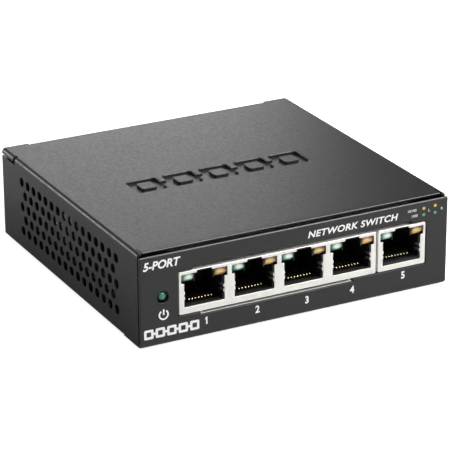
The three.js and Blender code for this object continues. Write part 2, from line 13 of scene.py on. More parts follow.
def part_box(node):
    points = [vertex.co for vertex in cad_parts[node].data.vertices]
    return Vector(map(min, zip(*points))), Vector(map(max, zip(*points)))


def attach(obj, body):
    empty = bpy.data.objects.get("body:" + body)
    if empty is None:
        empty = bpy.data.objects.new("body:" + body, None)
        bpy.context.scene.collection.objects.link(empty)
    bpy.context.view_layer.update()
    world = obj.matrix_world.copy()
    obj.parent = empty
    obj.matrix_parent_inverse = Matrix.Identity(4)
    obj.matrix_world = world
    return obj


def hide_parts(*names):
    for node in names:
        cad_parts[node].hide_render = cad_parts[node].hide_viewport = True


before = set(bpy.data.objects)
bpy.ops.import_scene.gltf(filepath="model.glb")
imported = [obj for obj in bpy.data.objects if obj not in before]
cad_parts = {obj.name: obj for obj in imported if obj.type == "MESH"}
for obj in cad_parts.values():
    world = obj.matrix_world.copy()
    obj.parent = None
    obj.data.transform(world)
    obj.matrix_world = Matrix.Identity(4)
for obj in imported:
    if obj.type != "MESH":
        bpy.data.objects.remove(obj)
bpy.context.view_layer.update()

MM = 0.001

# ---------------- sizes taken from the frame


def corners(node):
    """Lowest and highest corner of a CAD node, in millimetres."""
    low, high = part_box(node)
    return Vector(low) / MM, Vector(high) / MM


def middle(node):
    low, high = corners(node)
    return (low + high) / 2


COVER_LOW, COVER_HIGH = corners("top_cover")
CHASSIS_LOW, CHASSIS_HIGH = corners("bottom_chassis")
BOARD_LOW, BOARD_HIGH = corners("circuit_board")
SIDE = CHASSIS_HIGH.x
FRONT = CHASSIS_LOW.y
REAR = COVER_HIGH.y
REAR_PANEL = CHASSIS_HIGH.y
TOP = COVER_HIGH.z
PANEL_TOP = CHASSIS_HIGH.z
BASE = CHASSIS_LOW.z
PORTS = range(1, 6)

# Sheet metal
CHASSIS_SHEET = 1.0
COVER_SHEET = 0.8
BEND = 1.2  # outer radius of a fold
GAP = 0.3  # between the lid and the chassis
PANEL_BACK = FRONT + CHASSIS_SHEET
FLOOR = BASE + CHASSIS_SHEET
SHEARED = 0.18  # radius of a section's corners at a sheared edge
END = 0.12  # radius of the edges at the two ends of a section
PRINT = 0.03  # thickness of the screen print on the front panel
PANEL_FACE = FRONT + PRINT  # the panel is set back by the print, which then ends at the CAD panel's face
PAST = 1  # how far a cutter reaches past the metal that it cuts

# Jacks
FACE = corners("quad_jack_shield")[0].y
JACK_TOP = corners("quad_jack_shield")[1].z
SHIELD = 0.4  # thickness of the shields' sheet
PORT_X = {n: middle(f"port_{n}_contacts").x for n in PORTS}
PORT_HALF = 6.4
LED_SHELF = 17.9
LED_TOP = 20.65
LED_OUTER = 7.3
LATCH_HALF = 2.35
SILL = {"quad": 10.6, "single": 10.2}  # height of a port's lower edge
JACK_PORTS = {"quad": (1, 2, 3, 4), "single": (5,)}
WIRES = 8
WIRE_PITCH = 1.02
INLET_Z = BOARD_HIGH.z + 6.5  # middle of the power inlet

# ---------------- outlines


def rounded(points, radius, steps=4):
    """A closed outline with round corners. radius is one number, or one for each corner."""
    out = []
    count = len(points)
    for i, corner in enumerate(points):
        r = radius[i] if isinstance(radius, (list, tuple)) else radius
        here = Vector(corner)
        if r <= 0:
            out.append(here)
            continue
        back = (Vector(points[i - 1]) - here).normalized()
        ahead = (Vector(points[(i + 1) % count]) - here).normalized()
        half = back.angle(ahead) / 2
        centre = here + (back + ahead).normalized() * (r / math.sin(half))
        first = here + back * (r / math.tan(half)) - centre
        last = here + ahead * (r / math.tan(half)) - centre
        start = math.atan2(first.y, first.x)
        sweep = (math.atan2(last.y, last.x) - start + math.pi) % (2 * math.pi) - math.pi
        for s in range(steps + 1):
            angle = start + sweep * s / steps
            out.append(centre + Vector((math.cos(angle), math.sin(angle))) * r)
    return out


def inset(outline, distance):
    """The outline moved inwards, or outwards if distance is negative. It runs anticlockwise."""
    out = []
    count = len(outline)
    for i, here in enumerate(outline):
        before = (here - outline[i - 1]).normalized()
        after = (outline[(i + 1) % count] - here).normalized()
        normals = [Vector((-way.y, way.x)) for way in (before, after)]
        out.append(here + (normals[0] + normals[1]) * (distance / (1 + normals[0].dot(normals[1]))))
    return out


def rectangle(u0, u1, v0, v1, radius=0.0, steps=3):
    return rounded([(u0, v0), (u1, v0), (u1, v1), (u0, v1)], radius, steps)


def circle(u, v, radius, sides=32):
    angles = [2 * math.pi * i / sides for i in range(sides)]
    return [Vector((u + radius * math.cos(a), v + radius * math.sin(a))) for a in angles]


def sheet_section(path, thickness, start=SHEARED, end=SHEARED, bend=BEND):
    """Section of a folded sheet. path holds the corners of its outer face, with the metal to its left.

    start and end are the radii of the corners of its two sheared edges.
    """
    points = [Vector(p) for p in path]
    last = len(points) - 1
    inner = []
    for i, here in enumerate(points):
        before = (here - points[i - 1]).normalized() if i else None
        after = (points[i + 1] - here).normalized() if i < last else None
        normals = [Vector((-way.y, way.x)) for way in (before or after, after or before)]
        inner.append(here + (normals[0] + normals[1]) * (thickness / (1 + normals[0].dot(normals[1]))))
    outer_radii = [start] + [bend] * (last - 1) + [end]
    inner_radii = [start] + [max(bend - thickness, 0.15)] * (last - 1) + [end]
    return rounded(points + inner[::-1], outer_radii + inner_radii[::-1])


# ---------------- solids

# Where (u, v) of an outline and its level w go, for a body drawn along each axis
PLACE = {
    "x": lambda u, v, w: (w, u, v),
    "y": lambda u, v, w: (u, w, v),
    "z": lambda u, v, w: (u, v, w),
}


def linked(name, data):
    """A new object of the scene that holds the data."""
    made = bpy.data.objects.new(name, data)
    bpy.context.scene.collection.objects.link(made)
    return made


def from_bmesh(name, bm):
    """A new object with the mesh in bm, which is used up."""
    mesh = bpy.data.meshes.new(name)
    bm.to_mesh(mesh)
    bm.free()
    return linked(name, mesh)


def solid(name, rings_list, axis="z"):
    """A mesh of closed bodies, each given as rings of (outline, level) along an axis."""
    bm = bmesh.new()
    for rings in rings_list:
        loops = [[bm.verts.new(PLACE[axis](*p, level)) for p in outline] for outline, level in rings]
        count = len(loops[0])
        bm.faces.new(loops[0][::-1])
        bm.faces.new(loops[-1])
        for low, high in zip(loops, loops[1:]):
            for i in range(count):
                j = (i + 1) % count
                bm.faces.new((low[i], low[j], high[j], high[i]))
    bmesh.ops.recalc_face_normals(bm, faces=bm.faces)
    return from_bmesh(name, bm)


def anticlockwise(outline):
    area = sum(a[0] * b[1] - b[0] * a[1] for a, b in zip(outline, outline[1:] + outline[:1]))
    return outline if area > 0 else outline[::-1]


def soft_rings(outline, low, high, edge, steps=3):
    """Rings of a prism whose two end edges are rounded."""
    outline = anticlockwise(outline)
    if edge <= 0:
        return [(outline, low), (outline, high)]
    turn = [math.pi / 2 * s / steps for s in range(steps + 1)]
    curve = [(inset(outline, edge * (1 - math.sin(a))), edge * (1 - math.cos(a))) for a in turn]
    start = [(ring, low + depth) for ring, depth in curve]
    return start + [(ring, high - depth) for ring, depth in curve[::-1]]


def flared_rings(outline, low, high, flare, steps=3):
    """Rings of a cutter that leaves rounded rims on a sheet between the two levels."""
    turn = [math.pi / 2 * s / steps for s in range(steps + 1)]
    rim = [(flare * (1 - math.cos(a)), flare * (1 - math.sin(a))) for a in turn]
    first = [(inset(outline, -grow), low + depth) for grow, depth in rim[::-1]]
    last = [(inset(outline, -grow), high - depth) for grow, depth in rim]
    wide = inset(outline, -flare)
    return [(wide, low - PAST), *first, *last, (wide, high + PAST)]


def prism(outline, low, high, axis="z", edge=0.0, name="prism"):
    return solid(name, [soft_rings(outline, low, high, edge)], axis)


def beside(side, near, far, centre=0.0):
    """The levels at two distances from the centre, on one side of it, with the lower one first."""
    return sorted((centre + side * near, centre + side * far))


def block(x, y, z, edge=0.0, name="block"):
    """A box between pairs of levels, with rounded edges."""
    return prism(rectangle(*x, *y, edge * 1.4), *z, "z", edge, name)


def hole(outline, low, high, axis, flare=0.15):
    return solid("hole", [flared_rings(outline, low, high, flare)], axis)


def turned(name, profile, centre, axis="z", sides=40):
    """A body turned about an axis. profile holds (radius, level) pairs that start and end on the axis."""
    bm = bmesh.new()
    loops = []
    for radius, level in profile:
        points = [(0, 0)] if radius < 1e-6 else circle(0, 0, radius, sides)
        loops.append([bm.verts.new(PLACE[axis](*p, level)) for p in points])
    for low, high in zip(loops, loops[1:]):
        for i in range(sides):
            j = (i + 1) % sides
            ring = [low[i % len(low)], low[j % len(low)], high[j % len(high)], high[i % len(high)]]
            bm.faces.new(list(dict.fromkeys(ring)))
    bmesh.ops.translate(bm, verts=bm.verts, vec=centre)
    bmesh.ops.recalc_face_normals(bm, faces=bm.faces)
    return from_bmesh(name, bm)


def eased(path, rounds=2):
    """The path with its corners cut again and again, so that it runs in smooth bends."""
    points = [Vector(p) for p in path]
    for _ in range(rounds):
        softer = [points[0]]
        for here, ahead in zip(points, points[1:]):
            softer += [here.lerp(ahead, 0.25), here.lerp(ahead, 0.75)]
        points = [*softer, points[-1]]
    return points


def ribbon(path, thickness):
    """Outline of a strip of that thickness along the path."""
    sides = ([], [])
    for i, here in enumerate(path):
        ahead = (path[min(i + 1, len(path) - 1)] - path[max(i - 1, 0)]).normalized()
        across = Vector((-ahead.y, ahead.x)) * (thickness / 2)
        sides[0].append(here - across)
        sides[1].append(here + across)
    return sides[0] + sides[1][::-1]


def strip(path, thickness, low, high, axis, edge=0.06, name="strip"):
    """A bent strip of sheet or wire, carried along an axis."""
    return prism(ribbon(eased(path), thickness), low, high, axis, edge, name)


def bake(made):
    """Replaces an object's mesh with the one its modifiers give."""
    graph = bpy.context.evaluated_depsgraph_get()
    mesh = bpy.data.meshes.new_from_object(made.evaluated_get(graph))
    made.modifiers.clear()
    made.data = mesh
    return made


def work(made, operation, *others):
    """Joins to made, or cuts from it, each of the other bodies, which are used up."""
    for other in others:
        step = made.modifiers.new("work", "BOOLEAN")
        step.operation = operation
        step.solver = "MANIFOLD"
        step.object = other
    bake(made)
    for other in others:
        bpy.data.objects.remove(other)
    return made


def join(made, *others):
    return work(made, "UNION", *others)


def cut(made, *others):
    return work(made, "DIFFERENCE", *others)


def merged(name, parts):
    """Several bodies as one object."""
    bm = bmesh.new()
    for part in parts:
        bm.from_mesh(part.data)
        bpy.data.objects.remove(part)
    return from_bmesh(name, bm)


def finish_piece(made, name, material, body, nodes=(), sharp=32):
    """Names a piece, turns it into metres, shades it and fastens it to its body.

    nodes are the CAD nodes that it replaces. Edges over sharp degrees stay crisp.
    """
    made.name = name
    made.data.name = name
    made.data.transform(Matrix.Scale(MM, 4))
    made.data.materials.clear()
    made.data.materials.append(material)
    made.data.polygons.foreach_set("use_smooth", [True] * len(made.data.polygons))
    made.data.set_sharp_from_angle(angle=math.radians(sharp))
    weighted = made.modifiers.new("flat_faces_stay_flat", "WEIGHTED_NORMAL")
    weighted.keep_sharp = True
    weighted.weight = 80
    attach(made, body)
    if nodes:
        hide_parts(*nodes)
    return made


# ---------------- materials


class Surface:
    """A material with a Principled shader and short ways to add texture to it."""

    def __init__(self, name, color, roughness, metallic=0.0):
        self.material = bpy.data.materials.new(name)
        self.material.use_nodes = True
        self.tree = self.material.node_tree
        self.shader = self.tree.nodes["Principled BSDF"]
        self.color = color
        self.shader.inputs["Base Color"].default_value = (*color, 1)
        self.shader.inputs["Roughness"].default_value = roughness
        self.shader.inputs["Metallic"].default_value = metallic
        self.place = self.tree.nodes.new("ShaderNodeTexCoord").outputs["Object"]

    def node(self, kind, inputs, **settings):
        """A new node. inputs holds the value of each input, or the socket that feeds it."""
        made = self.tree.nodes.new(kind)
        for key, value in settings.items():
            setattr(made, key, value)
        for key, value in inputs.items():
            if isinstance(value, bpy.types.NodeSocket):
                self.tree.links.new(value, made.inputs[key])
            else:
                made.inputs[key].default_value = value
        return made

    def noise(self, size, detail=2.0, stretch=(1, 1, 1)):
        """Noise whose grains are about size millimetres across."""
        scaled = self.node("ShaderNodeVectorMath", {0: self.place, 1: stretch}, operation="MULTIPLY")
        looks = {"Vector": scaled.outputs[0], "Scale": 1 / (size * MM), "Detail": detail}
        return self.node("ShaderNodeTexNoise", looks).outputs["Fac"]

    def spread(self, source, low, high, start=0.3, end=0.7):
        """A value that goes from low to high while the source goes from start to end."""
        levels = {"Value": source, "From Min": start, "From Max": end, "To Min": low, "To Max": high}
        return self.node("ShaderNodeMapRange", levels).outputs["Result"]

    def blend(self, share, first, last):
        """Base colour that goes from first to last while the share goes from 0 to 1."""
        colors = {6: (*first, 1), 7: (*last, 1)}  # the mix node's inputs A and B for colours
        mix = self.node("ShaderNodeMix", {"Factor": share, **colors}, data_type="RGBA")
        self.tree.links.new(mix.outputs[2], self.shader.inputs["Base Color"])

    def vary_roughness(self, source, low, high):
        self.tree.links.new(self.spread(source, low, high), self.shader.inputs["Roughness"])

    def vary_color(self, source, low, high):
        """Base colour between low and high times the material's own."""
        first, last = ([c * amount for c in self.color] for amount in (low, high))
        self.blend(self.spread(source, 0, 1), first, last)

    def bump(self, *layers):
        """Relief from (source, height in millimetres) pairs."""
        normal = None
        for source, height in layers:
            made = self.node("ShaderNodeBump", {"Height": source, "Strength": 1.0, "Distance": height * MM})
            if normal:
                self.tree.links.new(normal, made.inputs["Normal"])
            normal = made.outputs["Normal"]
        self.tree.links.new(normal, self.shader.inputs["Normal"])


def powder_coat():
    coat = Surface("powder_coat", (0.012, 0.0123, 0.0128), 0.4)
    grain = coat.noise(0.34, 1.5)
    pebbles = coat.noise(0.9, 2)
    coat.vary_roughness(pebbles, 0.36, 0.45)
    coat.vary_color(grain, 0.72, 1.35)
    coat.bump((pebbles, 0.012), (grain, 0.022))
    return coat.material


def tinned():
    tin = Surface("tinned_shield", (0.79, 0.775, 0.73), 0.36, 0.2)
    rolled = tin.noise(0.5, 3, (1, 1, 0.12))
    blotches = tin.noise(2.5, 3)
    tin.vary_roughness(blotches, 0.3, 0.44)
    tin.vary_color(blotches, 0.94, 1.03)
    tin.bump((rolled, 0.004))
    return tin.material


def moulded(name, color, roughness, grain=0.25, height=0.008):
    plastic = Surface(name, color, roughness)
    fine = plastic.noise(grain, 2)
    plastic.vary_roughness(plastic.noise(1.6, 3), roughness - 0.07, roughness + 0.07)
    plastic.vary_color(fine, 0.85, 1.15)
    plastic.bump((fine, height))
    return plastic.material


def metal(name, color, roughness, grain=0.3, stretch=(1, 1, 1), height=0.003):
    bare = Surface(name, color, roughness, 1.0)
    fine = bare.noise(grain, 3, stretch)
    bare.vary_roughness(fine, roughness - 0.08, roughness + 0.1)
    bare.vary_color(bare.noise(1.5, 2), 0.9, 1.06)
    bare.bump((fine, height))
    return bare.material


def lens(name, pale, dark, centre, reach):
    """Lens with painted light in its base colour: a painted highlight in its middle and painted shade at its
    rim.

    centre is a share of its width and height, and places the painted highlight. The pale colour of the painted
    highlight fades into the dark colour of the painted shade between the two distances in reach, along an edge
    that wanders a little.
    """
    roughness, squash, wander = 0.25, 0.9, 0.12
    painted_lens = Surface(name, pale, roughness)
    inside = painted_lens.tree.nodes.new("ShaderNodeTexCoord").outputs["Generated"]
    core, flatten = (centre[0], 0.0, centre[1]), (1.0, 0.0, squash)
    away = painted_lens.node("ShaderNodeVectorMath", {0: inside, 1: core}, operation="SUBTRACT")
    flat = painted_lens.node("ShaderNodeVectorMath", {0: away.outputs[0], 1: flatten}, operation="MULTIPLY")
    far = painted_lens.node("ShaderNodeVectorMath", {0: flat.outputs[0]}, operation="LENGTH").outputs["Value"]
    cloud = painted_lens.noise(0.7, 2)
    drift = painted_lens.node("ShaderNodeMath", {0: cloud, 1: 2 * wander, 2: -wander}, operation="MULTIPLY_ADD")
    edge = painted_lens.node("ShaderNodeMath", {0: far, 1: drift.outputs[0]}, operation="ADD").outputs[0]
    # painted highlight in the middle, fading to painted shade towards the rim
    painted_lens.blend(painted_lens.spread(edge, 0, 1, *reach), pale, dark)
    painted_lens.vary_roughness(cloud, roughness - 0.06, roughness + 0.08)
    painted_lens.bump((cloud, 0.02))
    return painted_lens.material


def board_mask():
    """Green solder mask over a pattern of tracks."""
    mask = Surface("solder_mask", (0.012, 0.085, 0.035), 0.35)
    layout = {"Vector": mask.place, "Scale": 1 / (6 * MM), "Mortar Size": 0.06}
    between = {"Color1": (0.010, 0.075, 0.030, 1), "Color2": (0.014, 0.095, 0.040, 1)}
    tracks = mask.node("ShaderNodeTexBrick", {**layout, **between, "Mortar": (0.03, 0.16, 0.07, 1)})
    mask.tree.links.new(tracks.outputs["Color"], mask.shader.inputs["Base Color"])
    weave = mask.noise(0.4, 2)
    mask.vary_roughness(weave, 0.28, 0.42)
    mask.bump((tracks.outputs["Fac"], 0.03), (weave, 0.004))
    return mask.material


def rubber():
    soft = Surface("foot_rubber", (0.018, 0.018, 0.018), 0.8)
    fine = soft.noise(0.3, 3)
    soft.vary_roughness(fine, 0.7, 0.9)
    soft.vary_color(soft.noise(2, 2), 0.8, 1.3)
    soft.bump((fine, 0.02))
    return soft.material


def print_ink(name, color):
    ink = Surface(name, color, 0.5)
    grain = ink.noise(0.3, 2)
    ink.vary_color(grain, 0.93, 1.03)
    ink.vary_roughness(grain, 0.42, 0.58)
    ink.bump((grain, 0.004))
    return ink.material


COAT = powder_coat()
SHIELD_TIN = tinned()
BLACK_PLASTIC = moulded("black_moulding", (0.005, 0.005, 0.006), 0.5)
CHIP_BLACK = moulded("chip_moulding", (0.016, 0.016, 0.018), 0.55, 0.2)
GOLD = metal("contact_gold", (0.34, 0.28, 0.18), 0.26)
# A darkened copy of the shields' tin: painted shade on the spring fingers deep inside the ports
SHADED_FINGER_TIN = metal("shaded_finger_tin", (0.20, 0.20, 0.19), 0.42)
TIN = metal("terminal_tin", (0.62, 0.62, 0.64), 0.3)
ZINC = metal("zinc_plate", (0.42, 0.42, 0.43), 0.32, 0.4)
ALLOY = metal("extruded_alloy", (0.6, 0.61, 0.62), 0.35, 0.4, (1, 0.1, 1))
# Each lens's colour goes from a painted highlight in its middle to painted shade at its rim
GREEN_LENS = lens("green_lens", (0.64, 0.79, 0.69), (0.025, 0.12, 0.07), (0.60, 0.62), (0.16, 0.48))
AMBER_LENS = lens("amber_lens", (0.70, 0.48, 0.19), (0.09, 0.035, 0.01), (0.42, 0.42), (0.22, 0.56))
POWER_LENS = lens("power_lens", (0.06, 0.22, 0.15), (0.01, 0.05, 0.035), (0.45, 0.55), (0.15, 0.5))
MASK = board_mask()
RUBBER = rubber()
PAD = moulded("silicone_pad", (0.30, 0.36, 0.42), 0.7)
SLEEVE = moulded("capacitor_sleeve", (0.015, 0.03, 0.09), 0.3, 0.5, 0.003)
WHITE_INK = print_ink("white_ink", (0.85, 0.85, 0.85))
GREEN_INK = print_ink("green_ink", (0.10, 0.34, 0.16))
AMBER_INK = print_ink("amber_ink", (0.62, 0.42, 0.08))

# ---------------- camera, lights and floor


def add_camera():
    """The camera stands in front and to the left, and looks down on the ports and the lid."""
    data = bpy.data.cameras.new("camera")
    data.lens = 197.0
    data.sensor_width = 36
    data.clip_end = 10
    camera = linked("camera", data)
    azimuth, elevation, roll = (math.radians(angle) for angle in (-27.367, 22.057, -0.324))
    turn = Matrix.Rotation(azimuth, 3, "Z") @ Matrix.Rotation(math.pi / 2 - elevation, 3, "X")
    turn = turn @ Matrix.Rotation(roll, 3, "Z")
    camera.matrix_world = turn.to_4x4()
    camera.location = Vector((-317.151, -616.258, 292.112)) * MM
    bpy.context.scene.camera = camera


def add_area(name, centre, target, size, power):
    data = bpy.data.lights.new(name, "AREA")
    data.shape = "RECTANGLE"
    data.size, data.size_y = size[0] * MM, size[1] * MM
    data.energy = power
    light = linked(name, data)
    light.location = Vector(centre) * MM
    light.rotation_euler = (Vector(target) - Vector(centre)).to_track_quat("-Z", "Y").to_euler()
    return light


def add_studio():
    """Lamps and surround. The key lights matt surfaces only, and the other softboxes are only mirrored."""
    key = add_area("key_softbox", (380, -460, 420), (0, -20, 0), (330, 330), 4.6)
    key.visible_glossy = False
    for name, centre, size, power in (
        ("rear_softbox", (-50, 430, 130), (640, 200), 0.29),
        ("bright_rear_softbox", (170, 425, 170), (180, 190), 0.23),
        ("streak_softbox", (-330, 420, 105), (150, 150), 0.75),
        ("top_softbox", (260, -20, 560), (380, 380), 2.8),
        ("edge_softbox", (250, -280, 490), (380, 320), 6.4),
        ("front_softbox", (60, -450, 150), (640, 200), 0.16),
        ("left_softbox", (-450, -40, 130), (640, 200), 0.12),
        ("right_softbox", (450, -60, 130), (500, 200), 0.1),
    ):
        mirrored = add_area(name, centre, (0, 0, 20), size, power)
        mirrored.visible_diffuse = False
    world = bpy.data.worlds.new("studio")
    bpy.context.scene.world = world
    world.use_nodes = True
    tree = world.node_tree
    rays = tree.nodes.new("ShaderNodeLightPath").outputs
    fill, reflected, seen = 0.3, 0.05, 1.0  # strength on matt surfaces, in reflections and for the camera
    strength = None
    for ray, others, this in (("Is Glossy Ray", fill, reflected), ("Is Camera Ray", 0.0, seen)):
        choice = tree.nodes.new("ShaderNodeMix")
        choice.inputs["A"].default_value = others
        choice.inputs["B"].default_value = this
        tree.links.new(rays[ray], choice.inputs["Factor"])
        if strength:
            tree.links.new(strength, choice.inputs["A"])
        strength = choice.outputs["Result"]
    tree.links.new(strength, tree.nodes["Background"].inputs["Strength"])
    tree.nodes["Background"].inputs["Color"].default_value = (1, 1, 1, 1)
    bpy.context.scene.view_settings.view_transform = "Standard"


def add_floor():
    """White paper. What the camera sees of it is lit up, so that it is as white as the wall behind."""
    paper = Surface("pale_floor", (0.93, 0.93, 0.93), 0.9)
    paper.vary_color(paper.noise(3, 3), 0.995, 1.005)
    seen = paper.tree.nodes.new("ShaderNodeLightPath").outputs["Is Camera Ray"]
    paper.shader.inputs["Emission Color"].default_value = (1, 1, 1, 1)
    glow = 0.85
    paper.tree.links.new(paper.spread(seen, 0, glow, 0, 1), paper.shader.inputs["Emission Strength"])
    mesh = bpy.data.meshes.new("floor")
    reach = 6.0  # metres
    mesh.from_pydata([(*p, 0) for p in rectangle(-reach, reach, -reach, reach)], [], [(0, 1, 2, 3)])
    mesh.materials.append(paper.material)
    floor = linked("floor", mesh)


add_camera()
add_studio()
add_floor()

# ---------------- lid

VENT = {"radius": 1.45, "pitch": 4.49, "row_pitch": 3.98, "rows": 5, "long_row": 16, "y": 0.25, "z": 14.85}
MARK = {"x": -0.7, "y": -0.9, "squares": 5, "pitch": 12, "half": 4.9, "stroke": 2.5, "depth": 0.85}
SKIRT = BASE + 0.3  # lower edge of the side walls
TOE_REAR = -37.8  # in front of here a side wall reaches down to the chassis
FOLD_INNER = SIDE - 1.35  # where the side folds' reliefs start
NOTCH = (39.1, 40.4)  # relief across a side fold, along Y
SLIT = (26.75, 27.45)  # relief under a side fold, from the notch to the rear, along Z
REAR_FLANGE_HALF = 41
GROOVE = 0.35  # between the panel and the lid's front edge
LEAN = 3.6  # the front flange leans back at 45 degrees by this much, which keeps the groove dark
SCREW_X, SCREW_Z = middle("cover_screw_right").x, middle("cover_screw_right").z


def vents():
    """All the round holes of both side walls, as one set of cutters."""
    rings = []
    for row in range(VENT["rows"]):
        count = VENT["long_row"] - row % 2  # every other row is one hole shorter
        z = VENT["z"] + (row - (VENT["rows"] - 1) / 2) * VENT["row_pitch"]
        for i in range(count):
            y = VENT["y"] + (i - (count - 1) / 2) * VENT["pitch"]
            outline = circle(y, z, VENT["radius"], 24)
            for outer in (-SIDE, SIDE - COVER_SHEET):
                rings.append(flared_rings(outline, outer, outer + COVER_SHEET, 0.14, 2))
    return solid("vents", rings, "x")


def press_mark(cover):
    """A plain mark pressed into the lid: five hollow squares joined in a row. The sheet bulges under it."""
    half, stroke, y = MARK["half"], MARK["stroke"], MARK["y"]
    sunk = TOP - MARK["depth"]

    def pressed(outline):
        rings = flared_rings(outline, sunk - 1, TOP, 0.3, 4)
        return solid("pressed", [[(outline, sunk)] + rings[len(rings) // 2:]], "z")

    start = MARK["x"] - (MARK["squares"] - 1) / 2 * MARK["pitch"]
    squares = [start + i * MARK["pitch"] for i in range(MARK["squares"])]
    reach = half + 0.9
    pan = rectangle(squares[0] - reach, squares[-1] + reach, y - reach, y + reach, 2.0, 5)
    join(cover, prism(pan, sunk - 0.6, TOP - 0.4, "z", 0.2, "pan"))
    link = MARK["pitch"] / 2 - half + 0.5
    for left, right in zip(squares, squares[1:]):
        x = (left + right) / 2
        cut(cover, pressed(rectangle(x - link, x + link, y - stroke / 2, y + stroke / 2)))
    for x in squares:
        cut(cover, pressed(rectangle(x - half, x + half, y - half, y + half, 1.5, 5)))
        island = half - stroke
        outline = rectangle(x - island, x + island, y - island, y + island, 0.7, 5)
        join(cover, prism(outline, sunk - 0.15, TOP, "z", 0.12, "island"))


def make_cover():
    """One folded sheet: the top, both side walls, and a flange at the front and the rear.

    Each flange brings its own fold and some of the top, so room is cut for it first.
    """
    front = COVER_LOW.y
    edge = PANEL_BACK + GROOVE
    overlap = 20  # a flange's own stretch of the top ends at this level of Y
    across = sheet_section([(SIDE, SKIRT), (SIDE, TOP), (-SIDE, TOP), (-SIDE, SKIRT)], COVER_SHEET)
    cover = prism(across, front, REAR, "y", END, "cover")
    upper = (TOP - 3, TOP + PAST)
    rear_room = block((-REAR_FLANGE_HALF - 0.5, REAR_FLANGE_HALF + 0.5), (REAR - BEND, REAR + PAST), upper)
    front_room = block((-FOLD_INNER, FOLD_INNER), (FRONT, edge + LEAN), upper)
    cut(cover, rear_room, front_room)
    for side in (-1, 1):
        fold = beside(side, FOLD_INNER, SIDE + PAST)
        cut(cover, block(fold, NOTCH, (SLIT[0], TOP + PAST), 0.1))
        cut(cover, block(fold, (NOTCH[0], REAR + PAST), SLIT, 0.1))
        toe = rectangle(front, TOE_REAR, BASE, SKIRT + 2, 0.25)
        join(cover, prism(toe, *beside(side, SIDE - COVER_SHEET, SIDE), "x", END))
    leaning = [(overlap, TOP), (edge, TOP), (edge + LEAN, TOP - LEAN)]
    front_flange = sheet_section(leaning, COVER_SHEET, bend=0.3)
    rear_flange = sheet_section([(REAR, 21.3), (REAR, TOP), (overlap, TOP)], COVER_SHEET)
    front_half = FOLD_INNER - GAP
    join(
        cover,
        prism(front_flange, -front_half, front_half, "x", END),
        prism(rear_flange, -REAR_FLANGE_HALF, REAR_FLANGE_HALF, "x", END),
    )
    deep, past = REAR - 2, REAR + PAST
    sink = [(0, deep), (1.9, deep), (1.9, REAR - COVER_SHEET), (2.75, REAR), (2.9, past), (0, past)]
    sinks = [turned("sink", sink, (side * SCREW_X, 0, SCREW_Z), "y") for side in (-1, 1)]
    cut(cover, *sinks, vents())
    press_mark(cover)
    finish_piece(cover, "folded_lid", COAT, "case", ["top_cover"])


make_cover()

# ---------------- chassis

FOOT_X, FOOT_Y = middle("rubber_foot_front_right").x, -middle("rubber_foot_front_right").y
STANDOFF_X = middle("board_screw_2").x
STANDOFF_YS = (middle("board_screw_1").y, middle("board_screw_3").y)
KEYHOLE_X = 26
LOCK_SLOT = (-33.5, -26.5, 13.5, 16.5)
PANEL_EDGE = 0.48  # radius of the panel's upper edge


def window_outline():
    """The port window with its taller and deeper stretches, in one outline."""
    points = [
        (-38.4, 8.3), (-31.4, 8.3), (-31.4, 7.45), (18.3, 7.45), (18.3, 8.3), (43.1, 8.3),
        (43.1, 21.85), (38, 21.85), (38, 22.8), (-33.8, 22.8), (-33.8, 21.85), (-38.4, 21.85),
    ]
    return rounded(points, 0.2, 3)


def make_chassis():
    """One folded sheet: the floor with low side walls, the rear panel, and the wider front panel."""
    inner_side = SIDE - COVER_SHEET - GAP
    front_corner = [(PANEL_FACE, PANEL_TOP), (PANEL_FACE, BASE)]
    path = [*front_corner, (REAR_PANEL, BASE), (REAR_PANEL, TOP - 1.1)]
    folded = sheet_section(path, CHASSIS_SHEET, start=PANEL_EDGE)
    chassis = prism(folded, -inner_side, inner_side, "x", END, "chassis")
    stub = [*front_corner, (FRONT + BEND + 0.33, BASE)]
    panel = sheet_section(stub, CHASSIS_SHEET, start=PANEL_EDGE, end=0.3)
    join(chassis, prism(panel, -SIDE, SIDE, "x", 0.28))
    root, top = FLOOR - 0.3, BOARD_LOW.z - 0.1
    post = [(0, root), (3.4, root), (3.3, FLOOR), (2.8, FLOOR + 0.6), (2.7, top - 0.3), (2.5, top), (0, top)]
    bore = [(0, FLOOR), (1.25, FLOOR), (1.25, top - 0.3), (1.6, top + 0.1), (0, top + 0.1)]
    boss = [(0, root), (5.6, root), (5.5, FLOOR), (5.1, FLOOR + 0.9), (4.8, FLOOR + 1), (0, FLOOR + 1)]
    under, over = BASE - PAST, BASE + 1
    dish = [(0, under), (4.9, under), (4.7, BASE), (4.5, BASE + 0.15), (4.4, over), (0, over)]
    for side in (-1, 1):
        wall = beside(side, inner_side - CHASSIS_SHEET, inner_side)
        join(chassis, block(wall, (-46, 46), (BASE, 4.6), 0.2))
        for y in STANDOFF_YS:
            place = (side * STANDOFF_X, y, 0)
            join(chassis, turned("standoff", post, place))
            cut(chassis, turned("bore", bore, place))
        for sign in (-1, 1):
            place = (side * FOOT_X, sign * FOOT_Y, 0)
            join(chassis, turned("boss", boss, place, sides=48))
            cut(chassis, turned("dish", dish, place, sides=48))
    front = (PANEL_FACE, PANEL_BACK + PRINT)
    rear = (REAR_PANEL - CHASSIS_SHEET, REAR_PANEL)
    led = middle("power_led")
    cutters = [
        hole(window_outline(), *front, "y", 0.12),
        hole(circle(led.x, led.z, 1.85, 40), *front, "y"),
        hole(circle(middle("dc_jack_housing").x, INLET_Z, 4.2, 48), *rear, "y"),
        hole(rectangle(*LOCK_SLOT, 0.6, 5), *rear, "y"),
    ]
    for side in (-1, 1):
        cutters.append(hole(circle(side * SCREW_X, SCREW_Z, 1.6, 24), *rear, "y", 0.1))
        cutters.append(hole(keyhole(side * KEYHOLE_X), BASE, FLOOR, "z"))
    cut(chassis, *cutters)
    finish_piece(chassis, "folded_chassis", COAT, "case", ["bottom_chassis"])


